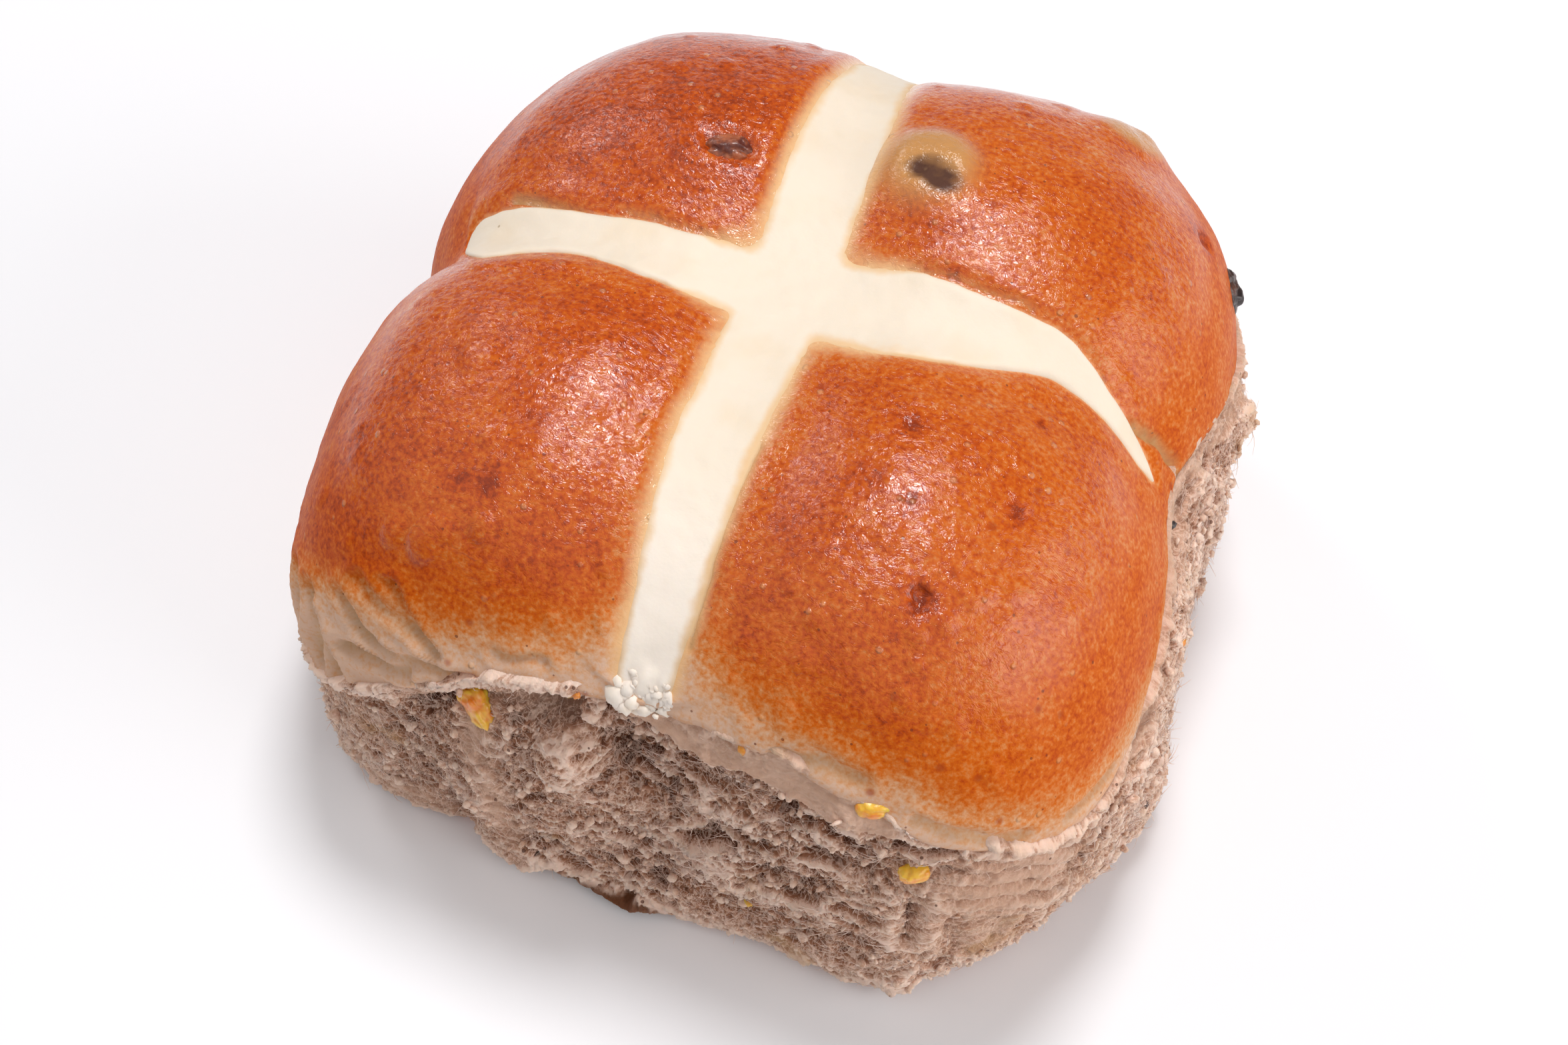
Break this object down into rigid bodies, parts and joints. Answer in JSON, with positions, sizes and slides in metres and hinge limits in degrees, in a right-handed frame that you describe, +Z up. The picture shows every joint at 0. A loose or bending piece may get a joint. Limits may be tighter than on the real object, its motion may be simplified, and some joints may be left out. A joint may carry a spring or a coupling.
{
  "type": "hot cross bun",
  "caption": "Square-shouldered spiced fruit bun torn from a batch, its glazed lobes pressed apart by a pale flour-paste cross, with fruit and peel at the surface.",
  "frame": {"origin": "centre of the flat base the bun rests on, in the middle of the bun's outline box", "axes": "+Z up through the crown, the cross's arms along X and Y, the torn front side towards -Y and the torn right side towards +X"},
  "size_m": [0.0728, 0.0728, 0.0467],
  "materials": {
    "bread": "satin",
    "paste": "matte",
    "sultana": "satin",
    "raisin": "satin",
    "currant": "satin",
    "peel": "gloss"
  },
  "bodies": {
    "root": {"bun": "bread", "cross": "paste", "sultana_crown": "sultana", "sultana_rim": "sultana", "raisin_side": "raisin", "currant_left": "currant", "peel_cave": "peel", "peel_lip": "peel", "peel_crumb": "peel", "peel_side": "peel"}
  },
  "joints": []
}
